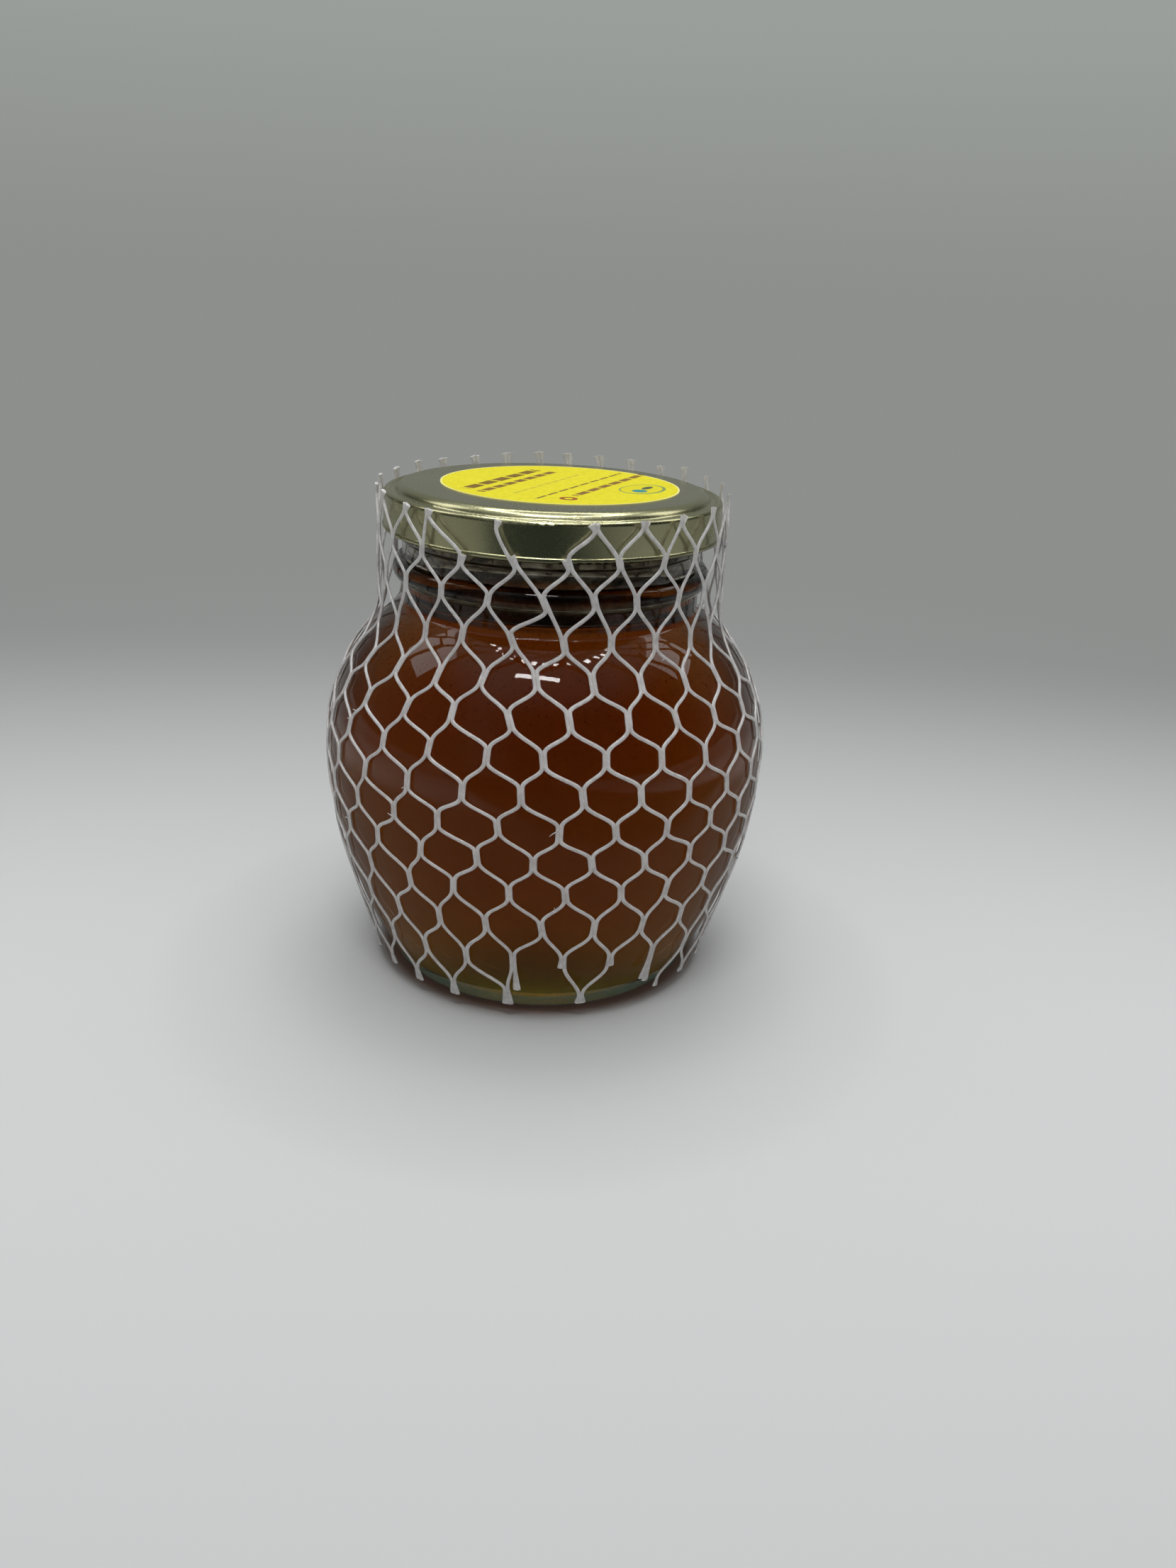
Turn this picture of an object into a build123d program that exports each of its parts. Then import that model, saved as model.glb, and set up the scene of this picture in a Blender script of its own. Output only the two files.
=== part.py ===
from build123d import *
import os
from math import acos, atan2, cos, pi, radians, sin, sqrt

# A round-bellied honey jar with a twist-off lid, a paper sticker on the lid
# and a tube of plastic netting pulled over the whole jar.
# Millimetres, +Z up, origin under the middle of the foot.
# Every piece is turned about the Z axis from an outline in (radius, height).

# ---- lid ----
LID_D = 73.0              # outside of the rolled edge
LID_METAL = 0.3           # sheet, with its lacquer
LID_DEPTH = 9.3           # panel top to the bottom of the rolled edge
CURL_R = 0.6              # section radius of the rolled edge
CURL_PROUD = 0.3          # how far the rolled edge stands out from the skirt
PANEL_MARGIN = 4.8        # skirt to the flat of the raised panel
PANEL_ARC = 2.2           # rounding at the panel's rim, which seats on the glass
CROWN_ARC = 0.9           # rounding between the crown and the skirt
CROWN_DROP = 1.25         # crown below the panel
GROOVE_ARC = 0.8          # hollow between panel and crown

# ---- glass ----
GLASS_H = 107.9           # foot to rim
BELLY_D = 97.6            # widest ring
BELLY_DEPTH = 56.2        # rim down to the widest ring
SHOULDER_ARC = 38.5       # from the belly up to the neck
SIDE_ARC = 100.0          # from the belly down to the heel
HEEL_ARC = 3.0            # between the side and the standing ring
STAND_W = 3.0             # width of the standing ring
PUNT = 1.0                # hollow under the foot
WALL = 2.8
BASE_T = 4.2              # floor of the jar above what it stands on
INNER_HEEL_ARC = 9.0
NECK_ARC = 2.0            # outside, between shoulder and neck
INNER_NECK_ARC = 4.0
FINISH_DEPTH = 11.3       # rim down to where the neck widens to the screw finish
FINISH_W = 3.7            # thickness of the finish
FINISH_STEP = 1.0         # finish beyond the neck
RIM_IN_ARC = 1.2
BEAD_DEPTH = 17.4         # rim down to the middle of the ring below the lid
BEAD_H = 5.2
BEAD_OUT = 2.1            # ring beyond the neck

# ---- honey ----
FILL_DEPTH = 23.4         # rim down to the level of the honey

# ---- sticker ----
LABEL_D = 51.2
LABEL_T = 0.15
LABEL_SHIFT = (1.3, 0.7)  # off the lid's centre, as stuck on by hand

# ---- netting ----
NET_GAP = 0.3             # to the glass
NET_LID_GAP = 0.4         # to the lid
NET_T = 1.2               # thickness of a strand
NET_ARC = 12.0            # sweep from the shoulder up to the lid
NET_RISE = 1.8            # cut ends above the lid
NET_FOOT_Z = 3.0          # cut ends above what the jar stands on
NET_HANG = 16.5           # lean of the loose hem, degrees

# ---- sizes that follow ----
LID_TOP = GLASS_H + LID_METAL
FINISH_Z = GLASS_H - FINISH_DEPTH
BEAD_Z = GLASS_H - BEAD_DEPTH
BELLY_Z = GLASS_H - BELLY_DEPTH
FILL_Z = GLASS_H - FILL_DEPTH
LID_R = LID_D / 2
SKIRT_R = LID_R - CURL_PROUD
PANEL_R = SKIRT_R - PANEL_MARGIN
BELLY_R = BELLY_D / 2
RIM_OUT_ARC = PANEL_ARC - LID_METAL
FINISH_R = PANEL_R + RIM_OUT_ARC
MOUTH_R = FINISH_R - FINISH_W
NECK_R = FINISH_R - FINISH_STEP
SHOULDER_C = BELLY_R - SHOULDER_ARC
SIDE_C = BELLY_R - SIDE_ARC
TOUCH = 1e-6              # outline ends closer than this are one point


def at(r, z):
    """A point of an outline."""
    return Vector(r, 0, z)


def on_circle(centre, radius, angle):
    return (centre[0] + radius * cos(angle), centre[1] + radius * sin(angle))


def arc(centre, radius, start, end):
    """A stretch of a circle between two angles, in radians from +X towards +Z."""
    points = [on_circle(centre, radius, a) for a in (start, (start + end) / 2, end)]
    return Edge.make_three_point_arc(*[at(*p) for p in points])


def chain(pieces):
    """Join arcs and loose points in order into a closed outline, with straight lines across the gaps."""
    edges = []
    start = None
    last = None
    for piece in pieces:
        loose = isinstance(piece, tuple)
        first = at(*piece) if loose else piece.position_at(0)
        if last is None:
            start = first
        elif (first - last).length > TOUCH:
            edges.append(Edge.make_line(last, first))
        if not loose:
            edges.append(piece)
        last = first if loose else piece.position_at(1)
    if (start - last).length > TOUCH:
        edges.append(Edge.make_line(last, start))
    return edges


def turned(pieces):
    """The solid that a closed outline sweeps about the Z axis."""
    return Solid.revolve(Face(Wire(chain(pieces))), 360, Axis.Z)


def heel(side_radius, heel_radius, floor_z):
    """Centre of a heel rounding that meets the floor and the side arc, and the angle where it ends."""
    rise = BELLY_Z - floor_z - heel_radius
    reach = side_radius - heel_radius
    run = sqrt(reach ** 2 - rise ** 2)
    return (SIDE_C + run, floor_z + heel_radius), -atan2(rise, run)


def neck_sweep(shoulder_radius, sweep_radius, neck_radius):
    """Centre of a hollow sweep from the shoulder arc to an upright neck, and the angle where it starts."""
    run = neck_radius + sweep_radius - SHOULDER_C
    reach = shoulder_radius + sweep_radius
    rise = sqrt(reach ** 2 - run ** 2)
    return (neck_radius + sweep_radius, BELLY_Z + rise), atan2(rise, run)


def side_and_shoulder(offset, low_angle, high_angle):
    """The belly's two arcs, moved out by an offset, from a low angle to a high one."""
    side = arc((SIDE_C, BELLY_Z), SIDE_ARC + offset, low_angle, 0)
    shoulder = arc((SHOULDER_C, BELLY_Z), SHOULDER_ARC + offset, 0, high_angle)
    return [side, shoulder]


def punt_arc(ring_r):
    """The shallow hollow under the foot, level at the axis."""
    radius = (ring_r ** 2 + PUNT ** 2) / (2 * PUNT)
    half = atan2(ring_r, radius - PUNT)
    return arc((0, PUNT - radius), radius, pi / 2, pi / 2 - half)


def glass_envelope():
    """The jar's outside as if it were solid, up to the rim."""
    heel_c, heel_end = heel(SIDE_ARC, HEEL_ARC, 0)
    neck_c, neck_start = neck_sweep(SHOULDER_ARC, NECK_ARC, NECK_R)
    bead_low = at(NECK_R, BEAD_Z - BEAD_H / 2)
    bead_high = at(NECK_R, BEAD_Z + BEAD_H / 2)
    bead = Edge.make_three_point_arc(bead_low, at(NECK_R + BEAD_OUT, BEAD_Z), bead_high)
    rim_c = (PANEL_R, GLASS_H - RIM_OUT_ARC)
    outline = [punt_arc(heel_c[0] - STAND_W)]
    outline += [arc(heel_c, HEEL_ARC, -pi / 2, heel_end)]
    outline += side_and_shoulder(0, heel_end, neck_start)
    outline += [arc(neck_c, NECK_ARC, neck_start + pi, pi)]
    outline += [bead]
    outline += [(NECK_R, FINISH_Z), (FINISH_R, FINISH_Z + FINISH_STEP / 2)]
    outline += [arc(rim_c, RIM_OUT_ARC, 0, pi / 2), (0, GLASS_H)]
    return turned(outline)


def cavity():
    """The jar's inside, from its floor to the rim."""
    heel_c, heel_end = heel(SIDE_ARC - WALL, INNER_HEEL_ARC, BASE_T)
    neck_c, neck_start = neck_sweep(SHOULDER_ARC - WALL, INNER_NECK_ARC, MOUTH_R)
    outline = [(0, BASE_T), arc(heel_c, INNER_HEEL_ARC, -pi / 2, heel_end)]
    outline += side_and_shoulder(-WALL, heel_end, neck_start)
    outline += [arc(neck_c, INNER_NECK_ARC, neck_start + pi, pi)]
    outline += [(MOUTH_R, GLASS_H - RIM_IN_ARC)]
    outline += [arc((MOUTH_R + RIM_IN_ARC, GLASS_H - RIM_IN_ARC), RIM_IN_ARC, pi, pi / 2)]
    outline += [(0, GLASS_H)]
    return turned(outline)


def glass_jar():
    return glass_envelope() - cavity()


def honey():
    """The cavity up to the fill level."""
    return split(cavity(), Plane.XY.offset(FILL_Z), keep=Keep.BOTTOM)


def lid_top(inset):
    """The lid's upper outline from the axis to the skirt, moved in by an inset."""
    panel_c = (PANEL_R, LID_TOP - PANEL_ARC)
    crown_c = (SKIRT_R - CROWN_ARC, LID_TOP - CROWN_DROP - CROWN_ARC)
    # The groove's circle touches the other two from above.
    run = crown_c[0] - panel_c[0]
    rise = crown_c[1] - panel_c[1]
    span = sqrt(run ** 2 + rise ** 2)
    to_panel = PANEL_ARC + GROOVE_ARC
    to_crown = CROWN_ARC + GROOVE_ARC
    tilt = atan2(rise, run)
    panel_angle = tilt + acos((span ** 2 + to_panel ** 2 - to_crown ** 2) / (2 * span * to_panel))
    groove_c = on_circle(panel_c, to_panel, panel_angle)
    crown_angle = atan2(groove_c[1] - crown_c[1], groove_c[0] - crown_c[0])
    return [
        (0, LID_TOP - inset),
        arc(panel_c, PANEL_ARC - inset, pi / 2, panel_angle),
        arc(groove_c, GROOVE_ARC + inset, panel_angle + pi, crown_angle + pi),
        arc(crown_c, CROWN_ARC - inset, crown_angle, 0),
    ]


def lid():
    """A pressed metal cap, open below, with its edge rolled into a round wire."""
    edge_z = LID_TOP - LID_DEPTH
    curl_c = (LID_R - CURL_R, edge_z + CURL_R)
    outer = turned(lid_top(0) + [(SKIRT_R, curl_c[1]), (0, curl_c[1])])
    inner = turned(lid_top(LID_METAL) + [(SKIRT_R - LID_METAL, curl_c[1]), (0, curl_c[1])])
    curl = Solid.make_torus(curl_c[0], CURL_R, Plane((0, 0, curl_c[1])))
    return (outer - inner) + curl


def lid_label():
    """A round paper sticker lying on the lid's panel."""
    disc = Solid.make_cylinder(LABEL_D / 2, LABEL_T)
    return disc.moved(Location((LABEL_SHIFT[0], LABEL_SHIFT[1], LID_TOP)))


def net_side(offset):
    """One face of the netting, from its loose hem to its top."""
    side_radius = SIDE_ARC + offset
    upright_r = LID_R + NET_LID_GAP + offset - NET_GAP
    sweep = NET_ARC - offset + NET_GAP
    leave = -radians(NET_HANG)
    leave_r, leave_z = on_circle((SIDE_C, BELLY_Z), side_radius, leave)
    hem_r = leave_r + (leave_z - NET_FOOT_Z) * sin(leave) / cos(leave)
    sweep_c, sweep_start = neck_sweep(SHOULDER_ARC + offset, sweep, upright_r)
    outline = [(hem_r, NET_FOOT_Z)]
    outline += side_and_shoulder(offset, leave, sweep_start)
    outline += [arc(sweep_c, sweep, sweep_start + pi, pi)]
    outline += [(upright_r, LID_TOP + NET_RISE)]
    return outline


def net_sleeve():
    """The netting's envelope: a thin open tube that follows the glass and the lid."""
    inside = turned(net_side(NET_GAP) + [(0, LID_TOP + NET_RISE), (0, NET_FOOT_Z)])
    outside = turned(net_side(NET_GAP + NET_T) + [(0, LID_TOP + NET_RISE), (0, NET_FOOT_Z)])
    return outside - inside


NODES = {
    "glass_jar": glass_jar,
    "honey": honey,
    "lid": lid,
    "lid_label": lid_label,
    "net_sleeve": net_sleeve,
}

os.makedirs("parts", exist_ok=True)
for name, build in NODES.items():
    export_step(build(), "parts/" + name + ".step")
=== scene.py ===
import bpy
import bmesh
import math
import random
from mathutils import Matrix, Vector


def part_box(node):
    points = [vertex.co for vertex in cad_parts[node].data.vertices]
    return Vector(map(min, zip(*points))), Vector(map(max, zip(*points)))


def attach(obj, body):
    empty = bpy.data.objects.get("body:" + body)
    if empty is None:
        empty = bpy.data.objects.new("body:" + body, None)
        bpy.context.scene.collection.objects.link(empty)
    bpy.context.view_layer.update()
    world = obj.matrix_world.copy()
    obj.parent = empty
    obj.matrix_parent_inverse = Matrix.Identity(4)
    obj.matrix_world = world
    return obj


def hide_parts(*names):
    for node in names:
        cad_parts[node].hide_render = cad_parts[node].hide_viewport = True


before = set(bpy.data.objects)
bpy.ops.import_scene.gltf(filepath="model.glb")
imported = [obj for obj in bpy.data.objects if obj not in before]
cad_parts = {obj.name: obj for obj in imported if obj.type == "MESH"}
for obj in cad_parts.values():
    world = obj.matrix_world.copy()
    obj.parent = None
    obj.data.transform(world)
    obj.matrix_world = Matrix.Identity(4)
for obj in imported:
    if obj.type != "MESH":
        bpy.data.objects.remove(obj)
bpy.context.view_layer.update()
scene = bpy.context.scene
scene.view_settings.view_transform = "Standard"

_, GLASS_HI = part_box("glass_jar")
_, HONEY_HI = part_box("honey")
_, LID_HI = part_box("lid")
LABEL_LO, LABEL_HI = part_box("lid_label")

MM = 0.001


# ---------------------------------------------------------------- helpers

def finish_mesh(ob, sharp_angle):
    """Turn all faces outward, then smooth them except across sharp edges."""
    bm = bmesh.new()
    bm.from_mesh(ob.data)
    bmesh.ops.recalc_face_normals(bm, faces=bm.faces)
    bm.to_mesh(ob.data)
    bm.free()
    for p in ob.data.polygons:
        p.use_smooth = True
    ob.data.set_sharp_from_angle(angle=math.radians(sharp_angle))


def mesh_object(name, verts, faces, mat):
    me = bpy.data.meshes.new(name)
    me.from_pydata([tuple(v) for v in verts], [], faces)
    me.validate()
    me.update()
    me.materials.append(mat)
    ob = bpy.data.objects.new(name, me)
    scene.collection.objects.link(ob)
    return ob


def turned(name, outline, steps, mat):
    """A mesh that an outline of (radius, height) pairs, from the axis to the axis, sweeps about Z."""
    verts, rings = [], []
    for r, z in outline:
        if r < 1e-9:
            rings.append([len(verts)])
            verts.append((0, 0, z))
        else:
            rings.append(list(range(len(verts), len(verts) + steps)))
            verts += [
                (r * math.cos(2 * math.pi * k / steps), r * math.sin(2 * math.pi * k / steps), z)
                for k in range(steps)
            ]
    faces = []
    for a, b in zip(rings, rings[1:]):
        for k in range(steps):
            n = (k + 1) % steps
            quad = [a[k % len(a)], a[n % len(a)], b[n % len(b)], b[k % len(b)]]
            face = list(dict.fromkeys(quad))
            if len(face) > 2:
                faces.append(face)
    ob = mesh_object(name, verts, faces, mat)
    finish_mesh(ob, 40)
    return ob


def new_material(name):
    m = bpy.data.materials.new(name)
    m.use_nodes = True
    nt = m.node_tree
    nt.nodes.clear()
    out = nt.nodes.new("ShaderNodeOutputMaterial")
    return m, nt, out


def node(nt, kind, inputs=None, **attrs):
    """A new node. An input is a number, a colour or the socket that feeds it."""
    n = nt.nodes.new(kind)
    for k, v in attrs.items():
        setattr(n, k, v)
    for k, v in (inputs or {}).items():
        if isinstance(v, bpy.types.NodeSocket):
            nt.links.new(v, n.inputs[k])
        else:
            n.inputs[k].default_value = v
    return n


def maths(nt, kind, a, b=0.0, c=0.0):
    return node(nt, "ShaderNodeMath", {0: a, 1: b, 2: c}, operation=kind).outputs[0]


def between(nt, value, lo, hi, low=0.0, high=1.0):
    """Eases from low, where the value is lo or past it, to high, where it is hi or past it."""
    return node(nt, "ShaderNodeMapRange", {
        "Value": value, "From Min": lo, "From Max": hi, "To Min": low, "To Max": high},
        interpolation_type="SMOOTHSTEP").outputs[0]


def blend(nt, factor, a, b):
    return node(nt, "ShaderNodeMix", {"Factor": factor, 6: a, 7: b}, data_type="RGBA").outputs[2]


def dot(nt, vector, axis):
    return node(nt, "ShaderNodeVectorMath", {0: vector, 1: axis}, operation="DOT_PRODUCT").outputs["Value"]


def length(nt, vector):
    return node(nt, "ShaderNodeVectorMath", {0: vector}, operation="LENGTH").outputs["Value"]


def height(nt):
    """A point's height above the floor, in millimetres."""
    at = node(nt, "ShaderNodeNewGeometry")
    xyz = node(nt, "ShaderNodeSeparateXYZ", {0: at.outputs["Position"]})
    return maths(nt, "MULTIPLY", xyz.outputs["Z"], 1000.0)


def grain(nt, scale, detail=3.0):
    at = node(nt, "ShaderNodeTexCoord")
    return node(nt, "ShaderNodeTexNoise", {
        "Vector": at.outputs["Object"], "Scale": scale, "Detail": detail, "Roughness": 0.55}).outputs["Fac"]


def bump(nt, value, strength, distance):
    return node(nt, "ShaderNodeBump", {
        "Height": value, "Strength": strength, "Distance": distance}).outputs[0]


def principled(nt, out, inputs):
    b = node(nt, "ShaderNodeBsdfPrincipled", inputs)
    nt.links.new(b.outputs[0], out.inputs["Surface"])


# ---------------------------------------------------------------- camera

CAMERA_AT = (0, -277.0, 151.3)          # mm
ROLL, PAN, TILT = 2.75, 2.13, 21.97     # degrees
SENSOR, LENS = 36, 29.29                # mm


def set_camera():
    """The photograph's place and tilt: a little above the lid, looking down, with a slight roll."""
    roll, pan, tilt = (math.radians(a) for a in (ROLL, PAN, TILT))
    right = Vector((math.cos(pan), -math.sin(pan), 0))
    ahead = Vector((math.sin(pan) * math.cos(tilt), math.cos(pan) * math.cos(tilt), -math.sin(tilt)))
    up = right.cross(ahead)
    cam_right = math.cos(roll) * right + math.sin(roll) * up
    cam_up = -math.sin(roll) * right + math.cos(roll) * up
    data = bpy.data.cameras.new("camera")
    data.sensor_width = SENSOR
    data.lens = LENS
    data.clip_start = 0.01
    data.clip_end = 20
    cam = bpy.data.objects.new("camera", data)
    scene.collection.objects.link(cam)
    m = Matrix((cam_right, cam_up, -ahead)).transposed().to_4x4()
    m.translation = Vector(CAMERA_AT) * MM
    cam.matrix_world = m
    scene.camera = cam


set_camera()


# ---------------------------------------------------------------- sizes of the jar, in millimetres

BELLY_R, BELLY_Z = 48.8, 51.7
SHOULDER_ARC, SIDE_ARC = 38.5, 100.0
SHOULDER_C, SIDE_C = BELLY_R - SHOULDER_ARC, BELLY_R - SIDE_ARC
NECK_R, MOUTH_R, FINISH_R = 32.3, 29.6, 33.3
WALL, BASE_T, PUNT = 2.8, 4.2, 1.0
HEEL_ARC, INNER_HEEL_ARC = 3.0, 9.0
NECK_ARC, INNER_NECK_ARC = 2.0, 4.0
FINISH_Z = 96.4                 # where the neck starts to widen to the finish
RIM_OUT_ARC, RIM_IN_ARC = 1.9, 1.2
# The ring below the lid: the centre and radius of its arc, and half its sweep in degrees
BEAD_C, BEAD_ARC, BEAD_SWEEP = (31.74, 90.5), 2.66, 77.8
RIM_Z = GLASS_HI.z / MM
LEVEL = HONEY_HI.z / MM
# The honey climbs the wall a little: in from the wall, up from its level
MENISCUS = ((0, 0.9), (0.25, 0.45), (0.8, 0.15), (2, 0))
FOOT_Z = 4.4                    # the glass is frosted below this
INTO_GLASS = 0.1                # the honey reaches this far into the wall, so that no two faces coincide
UNDER_LEVEL = 0.03              # and stops this far below the glass body's own face


# ---------------------------------------------------------------- materials

# Linear colours. A pair is the dark and the pale end of a cloudy tone.
CLEAR = (0.98, 0.99, 0.975, 1)
# the glass above the honey: partly dried honey and steam, partly painted shade under the lid
SMEAR_AND_SHADE = ((0.22, 0.18, 0.13, 1), (0.55, 0.52, 0.44, 1))
FROSTED = ((0.24, 0.4, 0.33, 1), (0.33, 0.47, 0.38, 1))
GLASS_SHINE = (0.5, 0.5, 0.5, 1)        # glass mirrors half of what it would
# the yellow tint at the bottom is painted light, for light through the thin honey there
HONEY_FOOT_PAINTED_LIGHT, HONEY_BODY = (0.97, 1.0, 0.4, 1), (0.95, 0.9, 0.8, 1)
HONEY_DEPTH, HONEY_DENSITY = (0.729, 0.51, 0.071, 1), 73.0
SPECK = (0.45, 0.32, 0.2, 1)
GOLD = ((0.4, 0.385, 0.225, 1), (0.44, 0.425, 0.26, 1))
PLASTIC = ((0.82, 0.79, 0.78, 1), (0.99, 0.98, 0.97, 1))
YELLOW, YELLOW_PALE = (0.65, 0.58, 0.012, 1), (0.73, 0.655, 0.02, 1)
CUT_EDGE = (0.78, 0.74, 0.3, 1)
CUT_EDGE_W = 0.35               # mm
READING = 64.5                  # direction of the sticker's lines, in degrees
# The sticker's lines: place across, start and end along, half thickness, dash length (all mm) and colour
LINES = (
    (12.8, -18.6, 14.2, 1.3, 6.1, (0.2, 0.12, 0.02, 1)),
    (8.6, -20.0, 15.0, 0.95, 4.7, (0.22, 0.13, 0.025, 1)),
    (2.2, -18.0, 15.0, 0.35, 3.6, (0.52, 0.45, 0.04, 1)),
    (-4.3, -21.0, 23.0, 0.35, 5.2, (0.22, 0.15, 0.03, 1)),
    (-9.0, -12.0, 25.0, 0.85, 5.6, (0.24, 0.13, 0.03, 1)),
)
DASH_GAP = 0.16                 # share of a dash length that stays empty
# Its ovals, each over the last: centre along and across, half sizes (all mm) and colour
OVALS = (
    (-16.0, -9.5, 1.9, 1.9, (0.3, 0.07, 0.02, 1)),
    (-16.0, -9.5, 0.9, 0.9, YELLOW),
    (5.0, -17.0, 7.0, 4.6, (0.2, 0.28, 0.1, 1)),
    (5.0, -16.8, 6.4, 4.1, YELLOW),
    (2.4, -17.4, 1.9, 1.6, (0.05, 0.25, 0.24, 1)),
    (7.2, -17.2, 2.4, 0.9, (0.1, 0.12, 0.06, 1)),
)


def glass_material():
    """Clear glass, tinted above the honey's level by a cloudy smear: partly honey and steam dried on,
    partly painted shade under the lid.
    """
    m, nt, out = new_material("clear_glass")
    # cloudy tint that is partly dried honey and steam, partly painted shade under the lid
    smear_and_shade = blend(nt, between(nt, grain(nt, 260.0), 0.4, 0.62), *SMEAR_AND_SHADE)
    principled(nt, out, {
        "Base Color": blend(nt, between(nt, height(nt), LEVEL + 0.1, LEVEL + 2.5), CLEAR, smear_and_shade),
        "Roughness": 0.0, "IOR": 1.5, "Transmission Weight": 1.0, "Specular Tint": GLASS_SHINE})
    return m


def foot_material():
    """The frosted aqua glass of the foot, which scatters light instead of showing what lies above it."""
    m, nt, out = new_material("foot_glass")
    principled(nt, out, {
        "Base Color": blend(nt, between(nt, grain(nt, 420.0), 0.35, 0.65), *FROSTED),
        "Roughness": 0.3, "IOR": 1.5, "Transmission Weight": 0.75, "Specular Tint": GLASS_SHINE})
    return m


def honey_material():
    """Thick dark honey: hazy, with a painted yellow tint at the bottom that stands in for light through the
    thin honey there, and specks afloat in its upper part.
    """
    m, nt, out = new_material("honey")
    z = height(nt)
    # painted light: yellower low down, for light that passes through the thin honey at the bottom
    tint = blend(nt, between(nt, z, 5.0, 13.0), HONEY_FOOT_PAINTED_LIGHT, HONEY_BODY)
    specks = between(nt, grain(nt, 1300.0, 2.0), 0.62, 0.68)
    afloat = maths(nt, "MULTIPLY", specks, between(nt, z, 55.0, 76.0))
    principled(nt, out, {
        "Base Color": blend(nt, afloat, tint, SPECK),
        "Roughness": 0.9, "IOR": 1.06, "Transmission Weight": 1.0})
    v = node(nt, "ShaderNodeVolumeAbsorption", {"Color": HONEY_DEPTH, "Density": HONEY_DENSITY})
    nt.links.new(v.outputs[0], out.inputs["Volume"])
    return m


def lid_material():
    """Pale gold lacquer on tin: a satin grain, and a little wear."""
    m, nt, out = new_material("gold_lacquer")
    fine = grain(nt, 3200.0, 2.0)
    rough = node(nt, "ShaderNodeMapRange", {
        "Value": fine, "From Min": 0.3, "From Max": 0.7, "To Min": 0.2, "To Max": 0.28})
    principled(nt, out, {
        "Base Color": blend(nt, between(nt, grain(nt, 45.0), 0.3, 0.7), *GOLD),
        "Metallic": 1.0, "Roughness": rough.outputs[0], "Normal": bump(nt, fine, 0.05, 0.0001)})
    return m


def label_material():
    """A yellow paper sticker whose print is plain dashes, a disc and an oval."""
    m, nt, out = new_material("yellow_sticker")
    at = node(nt, "ShaderNodeNewGeometry").outputs["Position"]
    mid = (LABEL_LO + LABEL_HI) / 2
    own = node(nt, "ShaderNodeVectorMath", {0: at, 1: (mid.x, mid.y, 0)}, operation="SUBTRACT").outputs[0]
    mm = node(nt, "ShaderNodeVectorMath", {0: own, "Scale": 1000.0}, operation="SCALE").outputs[0]
    turn = math.radians(READING)
    u = dot(nt, mm, (math.cos(turn), math.sin(turn), 0))
    v = dot(nt, mm, (-math.sin(turn), math.cos(turn), 0))

    def squares(a, b):
        return maths(nt, "ADD", maths(nt, "MULTIPLY", a, a), maths(nt, "MULTIPLY", b, b))

    paper = blend(nt, between(nt, grain(nt, 900.0), 0.3, 0.7), YELLOW, YELLOW_PALE)
    cut_r = (LABEL_HI.x - mid.x) / MM - CUT_EDGE_W
    tone = blend(nt, maths(nt, "GREATER_THAN", squares(u, v), cut_r ** 2), paper, CUT_EDGE)
    for place, start, end, half, dash, colour in LINES:
        line = maths(nt, "COMPARE", v, place, half)
        run = maths(nt, "COMPARE", u, (start + end) / 2, (end - start) / 2)
        part = maths(nt, "GREATER_THAN", maths(nt, "FRACT", maths(nt, "DIVIDE", u, dash)), DASH_GAP)
        tone = blend(nt, maths(nt, "MULTIPLY", maths(nt, "MULTIPLY", line, run), part), tone, colour)
    for cu, cv, ru, rv, colour in OVALS:
        a = maths(nt, "DIVIDE", maths(nt, "SUBTRACT", u, cu), ru)
        b = maths(nt, "DIVIDE", maths(nt, "SUBTRACT", v, cv), rv)
        tone = blend(nt, maths(nt, "LESS_THAN", squares(a, b), 1.0), tone, colour)
    principled(nt, out, {
        "Base Color": tone, "Roughness": 0.6, "Specular IOR Level": 0.12,
        "Normal": bump(nt, grain(nt, 1500.0), 0.15, 0.0002)})
    return m


def net_material():
    """Cloudy soft plastic, streaky where it was drawn out."""
    m, nt, out = new_material("net_plastic")
    cloud = grain(nt, 700.0)
    principled(nt, out, {
        "Base Color": blend(nt, between(nt, cloud, 0.35, 0.65), *PLASTIC),
        "Roughness": 0.16, "Transmission Weight": 0.5, "IOR": 1.45, "Normal": bump(nt, cloud, 0.4, 0.0004)})
    return m


# ---------------------------------------------------------------- glass and honey

def dress(name, material):
    """Give a CAD node's own mesh a material."""
    ob = bpy.data.objects[name]
    for s in ob.material_slots:
        s.material = material
    if not ob.material_slots:
        ob.data.materials.append(material)


def arc_points(centre, radius, start, end, steps):
    """Points on a circle between two angles in degrees, as (radius, height)."""
    return [
        (centre[0] + radius * math.cos(math.radians(start + (end - start) * k / steps)),
         centre[1] + radius * math.sin(math.radians(start + (end - start) * k / steps)))
        for k in range(steps + 1)
    ]


def scaled(outline):
    return [(r * MM, z * MM) for r, z in outline]


def tangent_angles(side, heel, floor, shoulder, sweep, neck):
    """Where the heel and the neck's sweep meet the belly's two arcs: their centres and angles."""
    rise = BELLY_Z - floor - heel
    run = math.sqrt((side - heel) ** 2 - rise ** 2)
    reach = shoulder + sweep
    across = neck + sweep - SHOULDER_C
    up = math.sqrt(reach ** 2 - across ** 2)
    return ((SIDE_C + run, floor + heel), -math.degrees(math.atan2(rise, run)),
            (neck + sweep, BELLY_Z + up), math.degrees(math.atan2(up, across)))


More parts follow.
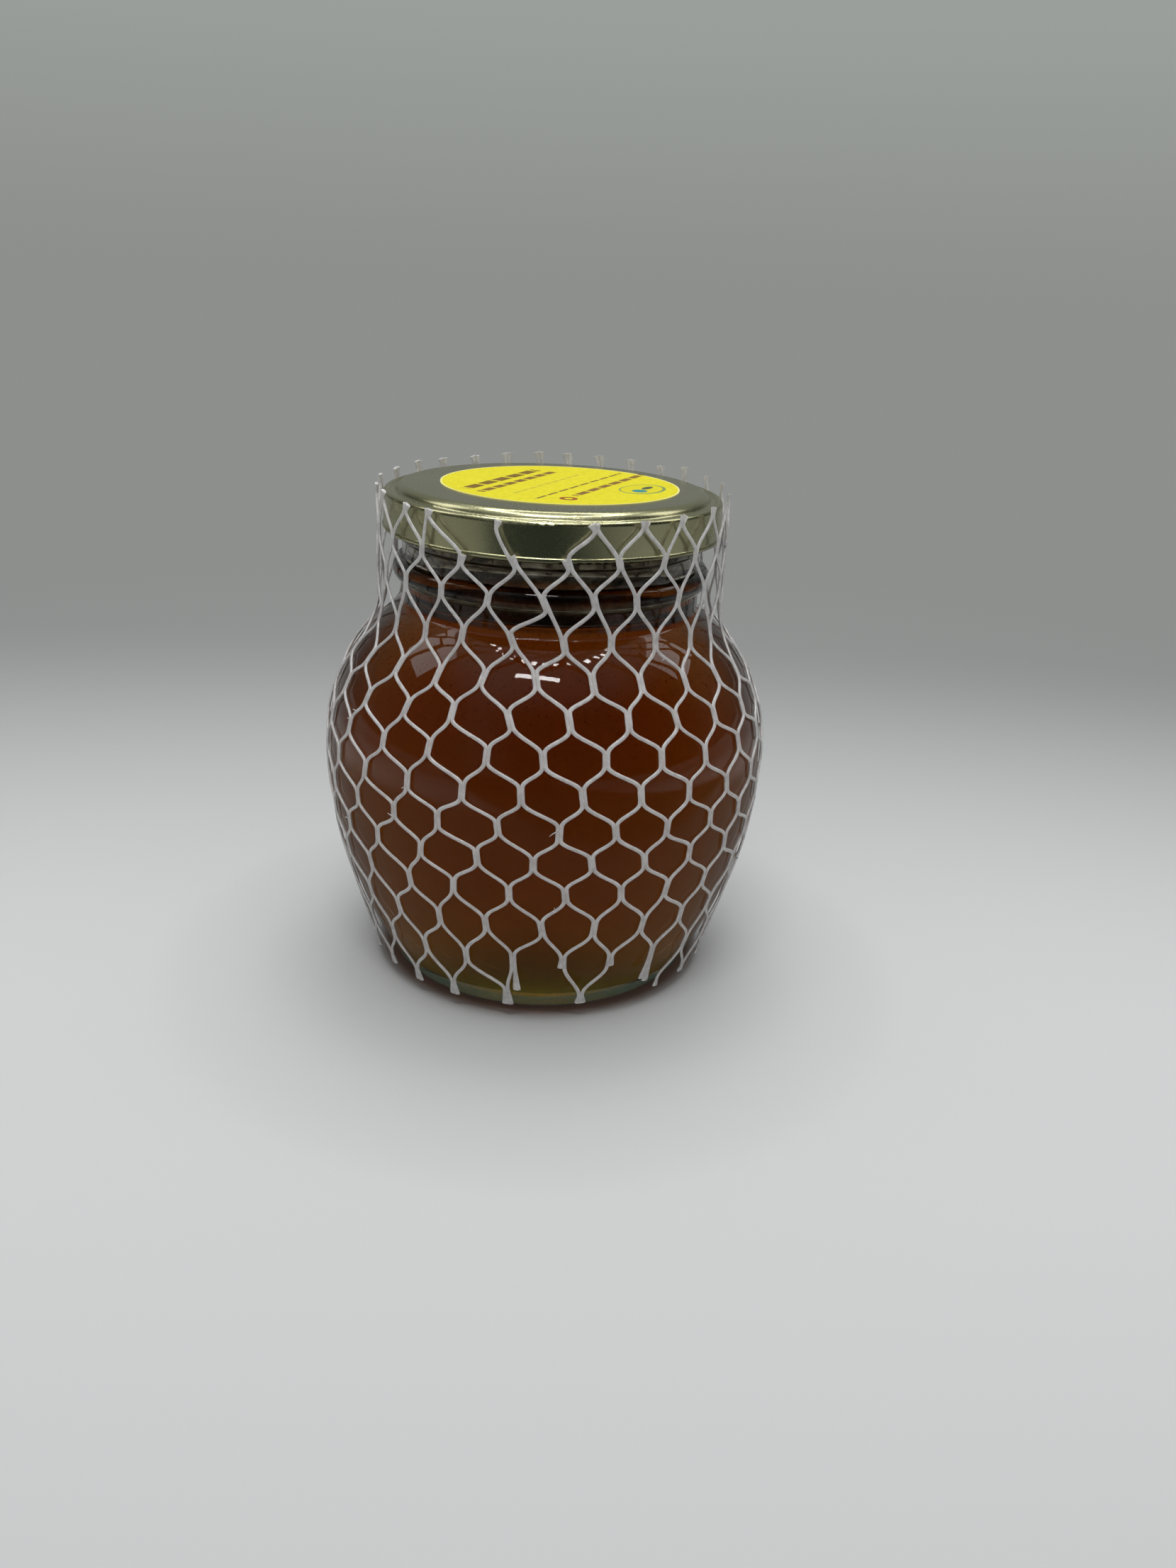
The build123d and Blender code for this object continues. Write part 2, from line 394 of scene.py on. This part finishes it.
def jar_outline():
    """Outside from the axis to the rim, then down the mouth to the honey's level.

    Glass and honey bend light alike, so this one body carries both.
    """
    heel_c, heel_end, neck_c, neck_start = tangent_angles(
        SIDE_ARC, HEEL_ARC, 0.0, SHOULDER_ARC, NECK_ARC, NECK_R)
    foot = heel_c[0] - HEEL_ARC
    out = [(foot * k / 6, PUNT * (1 - (k / 6) ** 2)) for k in range(7)]
    out += arc_points(heel_c, HEEL_ARC, -90, heel_end, 6)
    out += arc_points((SIDE_C, BELLY_Z), SIDE_ARC, heel_end, 0, 36)[1:]
    out += arc_points((SHOULDER_C, BELLY_Z), SHOULDER_ARC, 0, neck_start, 36)[1:]
    out += arc_points(neck_c, NECK_ARC, neck_start + 180, 180, 8)[1:]
    out += arc_points(BEAD_C, BEAD_ARC, -BEAD_SWEEP, BEAD_SWEEP, 14)
    out += [(NECK_R, FINISH_Z), (NECK_R + 0.25, FINISH_Z + 0.35),
            (FINISH_R - 0.15, FINISH_Z + 0.7), (FINISH_R, FINISH_Z + 1.0)]
    out += arc_points((FINISH_R - RIM_OUT_ARC, RIM_Z - RIM_OUT_ARC), RIM_OUT_ARC, 0, 90, 8)
    out += arc_points((MOUTH_R + RIM_IN_ARC, RIM_Z - RIM_IN_ARC), RIM_IN_ARC, 90, 180, 6)
    out += [(MOUTH_R - inward, LEVEL + up) for inward, up in MENISCUS]
    out += [(0, LEVEL)]
    return scaled(out)


def honey_outline():
    """The inside of the jar up to the honey's level, reaching just into the glass."""
    heel_c, heel_end, neck_c, neck_start = tangent_angles(
        SIDE_ARC - WALL, INNER_HEEL_ARC, BASE_T, SHOULDER_ARC - WALL, INNER_NECK_ARC, MOUTH_R)
    grow = INTO_GLASS
    top = LEVEL - UNDER_LEVEL
    out = [(0, BASE_T - grow)]
    out += arc_points(heel_c, INNER_HEEL_ARC + grow, -90, heel_end, 12)
    out += arc_points((SIDE_C, BELLY_Z), SIDE_ARC - WALL + grow, heel_end, 0, 30)[1:]
    out += arc_points((SHOULDER_C, BELLY_Z), SHOULDER_ARC - WALL + grow, 0, neck_start, 30)[1:]
    out += arc_points(neck_c, INNER_NECK_ARC - grow, neck_start + 180, 180, 6)[1:]
    out = [p for p in out if p[1] < top]
    out += [(MOUTH_R + grow, top), (MOUTH_R - 1, top), (0, top)]
    return scaled(out)


def filled_glass():
    jar = turned("jar_glass", jar_outline(), 256, glass_material())
    jar.data.materials.append(foot_material())
    for p in jar.data.polygons:
        p.material_index = int(p.center.z < FOOT_Z * MM)
    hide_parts("glass_jar")
    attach(jar, "root")
    honey = turned("honey_fill", honey_outline(), 192, honey_material())
    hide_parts("honey")
    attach(honey, "root")


filled_glass()
dress("lid", lid_material())
dress("lid_label", label_material())


# ---------------------------------------------------------------- net

COLUMNS = 26                    # cells round the net
RING = 2 * COLUMNS              # half cells round the net
LAST_ROW = 12                   # rows of joints run from -1 at the lid to this one at the hem
STEP = 180.0 / COLUMNS          # degrees between a joint and the next row's
BAR = 2.6 * MM                  # length of a joint, where two strands run side by side
STRAND = 0.44 * MM              # half the width of a strand
STRAND_T = 0.30 * MM            # half its thickness
APART = 0.31 * MM               # half the distance between the two strands of a joint
HEM_Z = 3.4 * MM                # the strands' lower ends stay above this
NIBS = 44                       # hairs left where the plastic was drawn out

# How the joints lie, in degrees round and millimetres up
FRONT = -96.0                   # the azimuth that the net is stretched about
FIRST_COLUMN, DRIFT = -101.5, 12.0      # the azimuth of column 0 at the lid, and its drift on the way down
STRETCH = 8.5                   # how far the columns beside the front are drawn apart at the lid
ROW_0_Z, ROW_DROP = 99.0, 7.15  # height of row 0, and down to each next row
HEM_DROP = 0.45                 # more than that below row 8
NECK_DIP = 1.2                  # rows 2 and 3 sink into the neck
SIDE_DIP = 3.4                  # rows hang lower at both sides
BACK_RISE = 2.4                 # the top row stands higher at the back
# Joints that sit away from the even net: (row, column) to degrees round
MOVED = {(-1, -3): -4.0, (-1, -1): 3.0, (1, 1): 2.6, (1, 3): 1.4, (12, -2): 4.5}
MEETING = (LAST_ROW, 2)         # the joint whose two strands only meet
# Where the scissors took a strand off, by (row, column, side): above a joint, or below it after so many mm
CUT_ABOVE = {(-1, 1, 1), (-1, 1, -1), (-1, -1, -1)}
CUT_BELOW = {(11, -1, 1): 7.0, (11, 1, -1): 0.0, (11, 3, 1): 0.0, (11, 5, -1): 5.6, (11, 5, 1): 6.6}
SPLAY = 0.5                     # how far the end below such a cut turns aside
# The two strands of a joint stand this many times as far apart at the lid, with this added at its back
TIP_SPREAD, BACK_SPREAD = 1.15, 0.45
HEM_SPREAD = 1.4                # and this many times as far at the hem
HEM_LONGER = 1.2 * MM           # a joint at the hem reaches this much lower
END_WIDER, END_FADE = 0.9, 0.3  # a cut end is this much wider, less at each further point along the strand


def ease(x):
    x = min(max(x, 0.0), 1.0)
    return x * x * (3 - 2 * x)


def behind(az):
    """0 at the front of the net and 1 at its back."""
    return (1 - math.cos(math.radians(az - FRONT))) / 2


def signed(col):
    """A column counted from -COLUMNS to COLUMNS - 1."""
    return col if col < COLUMNS else col - RING


class NetForm:
    """The surface that the net lies on: close to the belly, loose at the neck, upright round the lid."""

    def __init__(self):
        self.belly_r = GLASS_HI.x
        self.belly_z = BELLY_Z * MM
        self.shoulder = SHOULDER_ARC * MM
        self.side = SIDE_ARC * MM
        self.lid_r = LID_HI.x + 1.0 * MM
        self.sweep = 11.4 * MM                # the hollow turn from the shoulder up to the lid
        self.leave = math.radians(16.5)       # where it leaves the belly's lower arc and hangs straight
        self.off = 0.55 * MM                  # how far it lies off the glass

    def at(self, z):
        """Radius and slope (radius per height) at a height."""
        s, b = self.shoulder + self.off, self.side + self.off
        sc, bc = self.belly_r - self.shoulder, self.belly_r - self.side
        cx = self.lid_r + self.sweep
        cz = self.belly_z + math.sqrt((s + self.sweep) ** 2 - (cx - sc) ** 2)
        meet = self.belly_z + s * (cz - self.belly_z) / (s + self.sweep)
        if z >= cz:
            return self.lid_r, 0.0
        if z >= meet:
            h = math.sqrt(self.sweep ** 2 - (cz - z) ** 2)
            return cx - h, -(cz - z) / h
        if z >= self.belly_z:
            h = math.sqrt(s ** 2 - (z - self.belly_z) ** 2)
            return sc + h, -(z - self.belly_z) / h
        low = self.belly_z - b * math.sin(self.leave)
        if z >= low:
            h = math.sqrt(b ** 2 - (z - self.belly_z) ** 2)
            return bc + h, -(z - self.belly_z) / h
        t = math.tan(self.leave)
        return bc + b * math.cos(self.leave) - (low - z) * t, t

    def frame(self, az, z):
        """Point and outward normal."""
        r, slope = self.at(z)
        a = math.radians(az)
        out = Vector((math.cos(a), math.sin(a), 0))
        return out * r + Vector((0, 0, z)), (out - Vector((0, 0, slope))).normalized()


FORM = NetForm()


def joint_place(row, col, shift):
    """Azimuth in degrees and height of the middle of a joint."""
    turn = FIRST_COLUMN + DRIFT * ease((row - 1.0) / 10.0)
    lin = col * STEP
    stretch = STRETCH * (1 - ease((row + 1) / 8.5))
    az = turn + lin + stretch * math.sin(math.radians(lin))
    z = ROW_0_Z - ROW_DROP * row - HEM_DROP * max(0, row - 8) ** 2
    z -= NECK_DIP * math.exp(-((row - 2.4) / 0.9) ** 2)
    z -= SIDE_DIP * ease(row / 3.0) * math.sin(math.radians(az - FRONT)) ** 2
    az += MOVED.get((row, signed(col)), 0.0)
    if row < 0:
        z += BACK_RISE * behind(az)
    return az + shift[0], (z + shift[1]) * MM


def net_joints():
    """Each joint's azimuth, height, relative length and lean in degrees, by (row, column)."""
    rng = random.Random(11)
    joints = {}
    for row in range(-1, LAST_ROW + 1):
        for k in range(COLUMNS):
            col = 2 * k + row % 2
            shift = (rng.uniform(-0.8, 0.8), rng.uniform(-0.45, 0.45))
            az, z = joint_place(row, col, shift)
            usual = 0.45 + 0.5 * behind(az) if row < 0 else 0.75 + 0.25 * ease(row / 5)
            long = rng.uniform(0.85, 1.15) * usual
            if (row, col) == MEETING:
                long = 0.3
            aside = min(max(az - FRONT - 10.0, -45.0), 45.0)
            left = 0.5 - 0.5 * math.sin(math.radians(aside * 2.0))      # 1 left of the front, 0 right of it
            lean = rng.uniform(-0.4, 0.4) + 0.4 * left + (3.0 * left - 0.5) * (1 - ease(row / 7))
            joints[(row, col % RING)] = (az, z, long, lean)
    return joints


def bezier(p, t):
    s = 1 - t
    return tuple(
        s ** 3 * a + 3 * s * s * t * b + 3 * s * t * t * c + t ** 3 * d for a, b, c, d in zip(*p)
    )


class TubeMesh:
    """Collects flattened tubes that lie on the net's surface."""

    sides = 8

    def __init__(self):
        self.verts = []
        self.faces = []

    def add(self, path):
        """path: (point, normal, half width, half thickness) from end to end, capped flat."""
        rings = []
        n = len(path)
        for i, (p, nrm, w, t) in enumerate(path):
            a = path[max(i - 1, 0)][0]
            b = path[min(i + 1, n - 1)][0]
            along = (b - a).normalized()
            side = along.cross(nrm).normalized()
            out = side.cross(along).normalized()
            rings.append(len(self.verts))
            for k in range(self.sides):
                f = 2 * math.pi * k / self.sides
                self.verts.append(p + side * (w * math.cos(f)) + out * (t * math.sin(f)))
        s = self.sides
        for a, b in zip(rings, rings[1:]):
            for k in range(s):
                m = (k + 1) % s
                self.faces.append((a + k, a + m, b + m, b + k))
        self.faces.append(tuple(rings[0] + k for k in reversed(range(s))))
        self.faces.append(tuple(rings[-1] + k for k in range(s)))

    def make(self, name, mat):
        ob = mesh_object(name, self.verts, self.faces, mat)
        finish_mesh(ob, 50)
        return ob


def bar_span(joint):
    """Top and bottom of a joint, as (azimuth, height)."""
    az, z, long, lean = joint
    half = BAR * long / 2
    return (az - lean / 2, z + half), (az + lean / 2, z - half)


def strand(a, b, lean_a, lean_b, row, side):
    """A strand from one joint down to the next, in line with the joints at its ends, thinner midway."""
    drop = a[1] - b[1]
    # the share of the drop over which it keeps a joint's direction
    flat = 0.2 + 0.14 * ease(row / 6) if side > 0 else 0.3 + 0.12 * ease(row / 6)
    p = [a, (a[0] + lean_a * drop * flat, a[1] - drop * flat),
         (b[0] - lean_b * drop * flat, b[1] + drop * flat), b]
    steps = 10
    return [(bezier(p, k / steps), 1.0 - 0.14 * math.sin(math.pi * k / steps)) for k in range(1, steps)]


def add_nib(tubes, path, k, rng):
    """A hair that leaves a strand sideways and curls."""
    p, n, w, _ = path[k]
    along = (path[k + 1][0] - path[k - 1][0]).normalized()
    side = along.cross(n) * rng.choice((-1, 1))
    reach = rng.uniform(0.7, 1.5) * MM
    curl = rng.uniform(-0.7, 0.7)
    hair = []
    for i in range(5):
        f = i / 4
        at = p + side * (reach * f + 0.3 * w) + along * (curl * reach * f * f) + n * (0.35 * reach * f)
        thin = (0.16 - 0.1 * f) * MM
        hair.append((at, n, thin, thin))
    tubes.add(hair)


def shifted(az_z, side, spread):
    """A place on a joint's middle line, moved out to one of its two strands."""
    az, z = az_z
    return az + math.degrees(side * APART * spread / FORM.at(z)[0]), z


def chain_line(chain, joints):
    """One strand from the lid to the hem: ((azimuth, height), relative width) along it."""
    line = []
    tilt = 0.0
    for row in range(-1, LAST_ROW + 1):
        right = chain % 2 == row % 2          # this row's joint is the chain's left neighbour
        col = chain if right else (chain + 1) % RING
        side = 1 if right else -1
        here = (row, signed(col), side)
        if here in CUT_ABOVE:
            continue
        az, z, long, lean = joints[(row, col)]
        if col < chain and not right:         # past the last column, back at the first
            az += 360.0
        top, low = bar_span((az, z, long, lean))
        if row == LAST_ROW:
            low = (low[0], max(low[1] - HEM_LONGER, HEM_Z))
        top = shifted(top, side, TIP_SPREAD + BACK_SPREAD * behind(az) if row < 0 else 1.0)
        low = shifted(low, side, HEM_SPREAD if row == LAST_ROW else 1.0)
        slope = lean / (BAR * long)           # degrees per metre of height
        if line:
            line += strand(line[-1][0], top, tilt, slope, row, -side)
        line += [
            ((top[0] + (low[0] - top[0]) * k / 3, top[1] + (low[1] - top[1]) * k / 3), 1.0)
            for k in range(4)
        ]
        tilt = slope
        if here in CUT_BELOW:
            left = CUT_BELOW[here] * MM
            if left:
                line += [((low[0] + SPLAY * side * k / 4, low[1] - left * k / 4), 1.0) for k in range(1, 5)]
            break
    return line


def build_net():
    joints = net_joints()
    tubes = TubeMesh()
    rng = random.Random(5)
    paths = []
    for chain in range(RING):
        line = chain_line(chain, joints)
        path = []
        body = rng.uniform(0.93, 1.08)
        for k, ((az, z), w) in enumerate(line):
            w *= body
            w += max(END_WIDER - END_FADE * min(k, len(line) - 1 - k), 0.0)
            p, n = FORM.frame(az, z)
            path.append((p, n, STRAND * w, STRAND_T * (0.8 + 0.25 * w)))
        tubes.add(path)
        paths.append(path)
    for _ in range(NIBS):
        path = rng.choice(paths)
        add_nib(tubes, path, rng.randrange(3, len(path) - 3), rng)
    return tubes


net = build_net().make("net_strands", net_material())
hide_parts("net_sleeve")
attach(net, "root")


# ---------------------------------------------------------------- stage

FLOOR_HALF = 12.0                       # metres
FLOOR_TONE = (0.585, 0.597, 0.59, 1)
FAR_TONE = (0.268, 0.276, 0.268, 1)     # the far floor and the foot of the backdrop
HIGH_TONE = (0.33, 0.352, 0.335, 1)     # the backdrop higher up
DARK_ROOM = (0.016, 0.028, 0.026, 1)    # what mirrors show of the floor on the camera's side
AMBER_SHADE = (0.32, 0.14, 0.03, 1)     # a painted amber shadow on the floor round the jar, seen only through the honey
PAINTED_CONTACT_SHADOW = (0.2, 0.13, 0.1, 1)      # a painted contact shadow on the floor at the edge of the foot
# Where each of those two eases in and out, as distances from the jar's axis in metres
AMBER_IN, AMBER_OUT = (0.08, 0.1), (0.14, 0.11)
CONTACT_IN, CONTACT_OUT = (0.0325, 0.0345), (0.04, 0.0355)


def seen_directly(nt):
    """1 for rays from the camera, off a mirror or through glass, and 0 for those that gather soft light."""
    path = node(nt, "ShaderNodeLightPath").outputs
    eye = maths(nt, "MAXIMUM", path["Is Camera Ray"], path["Is Glossy Ray"])
    return maths(nt, "MAXIMUM", eye, path["Is Transmission Ray"])


def mirrored(nt):
    """1 for rays off a mirror alone, not for those that went through glass."""
    path = node(nt, "ShaderNodeLightPath").outputs
    return node(nt, "ShaderNodeMath", {0: path["Is Glossy Ray"], 1: path["Is Transmission Ray"]},
                operation="SUBTRACT", use_clamp=True).outputs[0]


def floor_material():
    """Pale near the jar and grey far off, where it glows by itself so that it meets the backdrop."""
    m, nt, out = new_material("floor")
    at = node(nt, "ShaderNodeNewGeometry").outputs["Position"]
    xyz = node(nt, "ShaderNodeSeparateXYZ", {0: at}).outputs
    away = length(nt, at)               # from the jar's axis, in metres
    place = node(nt, "ShaderNodeMapping", {"Vector": at, "Location": (0, 0.12, 0), "Scale": (0.45, 1, 1)})
    off_pale = length(nt, place.outputs[0])     # from the middle of the pale part, which is wide
    beyond = between(nt, off_pale, 0.3, 0.6)

    tone = blend(nt, between(nt, off_pale, 0.09, 0.4), FLOOR_TONE, FAR_TONE)
    near = maths(nt, "MAXIMUM", between(nt, xyz["Y"], -0.2, -0.08, 0.91, 1.0), beyond)
    tone = blend(nt, near, (0, 0, 0, 1), tone)
    # painted amber shadow of the honey, in a ring round the jar, shown only to rays through the honey
    ring = maths(nt, "MULTIPLY", between(nt, away, *AMBER_IN), between(nt, away, *AMBER_OUT))
    through = node(nt, "ShaderNodeLightPath").outputs["Is Transmission Ray"]
    tone = blend(nt, maths(nt, "MULTIPLY", ring, through), tone, AMBER_SHADE)
    # painted contact shadow: a dark warm ring on the floor at the edge of the foot
    edge = maths(nt, "MULTIPLY", between(nt, away, *CONTACT_IN), between(nt, away, *CONTACT_OUT))
    tone = blend(nt, edge, tone, PAINTED_CONTACT_SHADOW)

    # what mirrors see: darkness ahead to the right, as far as x 0.22 to 0.27, and round the foot
    ahead = between(nt, dot(nt, at, (0.6, -0.8, 0)), 0.07, 0.13, 0.0, 0.93)
    ahead = maths(nt, "MULTIPLY", ahead, between(nt, xyz["X"], 0.22, 0.27, 1.0, 0.0))
    dark = maths(nt, "MAXIMUM", ahead, between(nt, away, 0.15, 0.22, 0.7, 0.0))
    dark = maths(nt, "MULTIPLY", dark, mirrored(nt))

    lit = node(nt, "ShaderNodeBsdfDiffuse", {"Color": tone})
    glow = node(nt, "ShaderNodeEmission", {"Color": tone, "Strength": 1.0})
    black = node(nt, "ShaderNodeEmission", {"Color": DARK_ROOM, "Strength": 1.0})
    share = maths(nt, "MULTIPLY", beyond, seen_directly(nt))
    mix = node(nt, "ShaderNodeMixShader", {0: share, 1: lit.outputs[0], 2: glow.outputs[0]})
    both = node(nt, "ShaderNodeMixShader", {0: dark, 1: mix.outputs[0], 2: black.outputs[0]})
    nt.links.new(both.outputs[0], out.inputs["Surface"])
    return m


def stage():
    s = FLOOR_HALF
    corners = [(-s, -s, 0), (s, -s, 0), (s, s, 0), (-s, s, 0)]
    floor = mesh_object("floor", corners, [(0, 1, 2, 3)], floor_material())


stage()


# ---------------------------------------------------------------- light, in metres and watts

AIM = (0, 0, 0.06)                      # the lamps face the middle of the jar
FILL, FILL_STRENGTH = (0.96, 0.98, 1.0, 1), 0.46
BULBS = 30
BULB_RING, BULB_RING_R = (0.02, 0.1, 1.1), 0.42
BULB_SIZE, BULB_POWER = 0.045, 0.2


def lamp(name, place, size, power, size_y=None):
    data = bpy.data.lights.new(name, "AREA")
    data.shape = "RECTANGLE"
    data.size = size
    data.size_y = size_y or size
    data.energy = power
    ob = bpy.data.objects.new(name, data)
    scene.collection.objects.link(ob)
    ob.location = place
    ob.rotation_mode = "QUATERNION"
    ob.rotation_quaternion = (Vector(AIM) - Vector(place)).to_track_quat("-Z", "Y")
    return ob


def world_light():
    """A world that is grey to look at and gives soft light.

    Mirrors see it dark on the camera's side and at both sides, and bright overhead.
    """
    world = bpy.data.worlds.new("world")
    scene.world = world
    world.use_nodes = True
    nt = world.node_tree
    nt.nodes.clear()
    out = nt.nodes.new("ShaderNodeOutputWorld")
    at = node(nt, "ShaderNodeTexCoord").outputs["Generated"]
    xyz = node(nt, "ShaderNodeSeparateXYZ", {0: at}).outputs
    wall = blend(nt, between(nt, xyz["Z"], -0.02, 0.2), FAR_TONE, HIGH_TONE)
    ahead = between(nt, dot(nt, at, (0.5, -0.82, 0.28)), 0.3, 0.8, 0.75, 0.09)
    sides = between(nt, maths(nt, "ABSOLUTE", xyz["X"]), 0.45, 0.75, 1.0, 0.35)
    roof = between(nt, xyz["Z"], 0.6, 0.9, 0.0, 0.9)
    level = maths(nt, "ADD", maths(nt, "MULTIPLY", ahead, sides), roof)
    gloss = node(nt, "ShaderNodeMix", {"Factor": mirrored(nt), 2: 1.0, 3: level}, data_type="FLOAT")
    shown = node(nt, "ShaderNodeBackground", {"Color": wall, "Strength": gloss.outputs[0]})
    fill = node(nt, "ShaderNodeBackground", {"Color": FILL, "Strength": FILL_STRENGTH})
    mix = node(nt, "ShaderNodeMixShader", {0: seen_directly(nt), 1: fill.outputs[0], 2: shown.outputs[0]})
    nt.links.new(mix.outputs[0], out.inputs["Surface"])


def lamps():
    lamp("strip", (-0.08, -0.45, 1.0), 0.36, 1.7, size_y=0.05)
    back = lamp("back", (0.05, 0.3, 1.06), 0.45, 1.7)
    back.visible_glossy = False
    # two windows, seen only as faint squares on the shoulder
    for name, place in (("window_left", (-0.7, 0.15, 0.75)), ("window_right", (0.7, 0.22, 0.72))):
        window = lamp(name, place, 0.36, 0.9)
        window.visible_diffuse = False
        window.visible_transmission = False
    # a ring of small bulbs overhead, which the shoulder of the jar mirrors
    x, y, z = BULB_RING
    for k in range(BULBS):
        a = 2 * math.pi * k / BULBS
        place = (x + BULB_RING_R * math.cos(a), y + BULB_RING_R * math.sin(a), z)
        lamp("bulb_%02d" % k, place, BULB_SIZE, BULB_POWER)


world_light()
lamps()
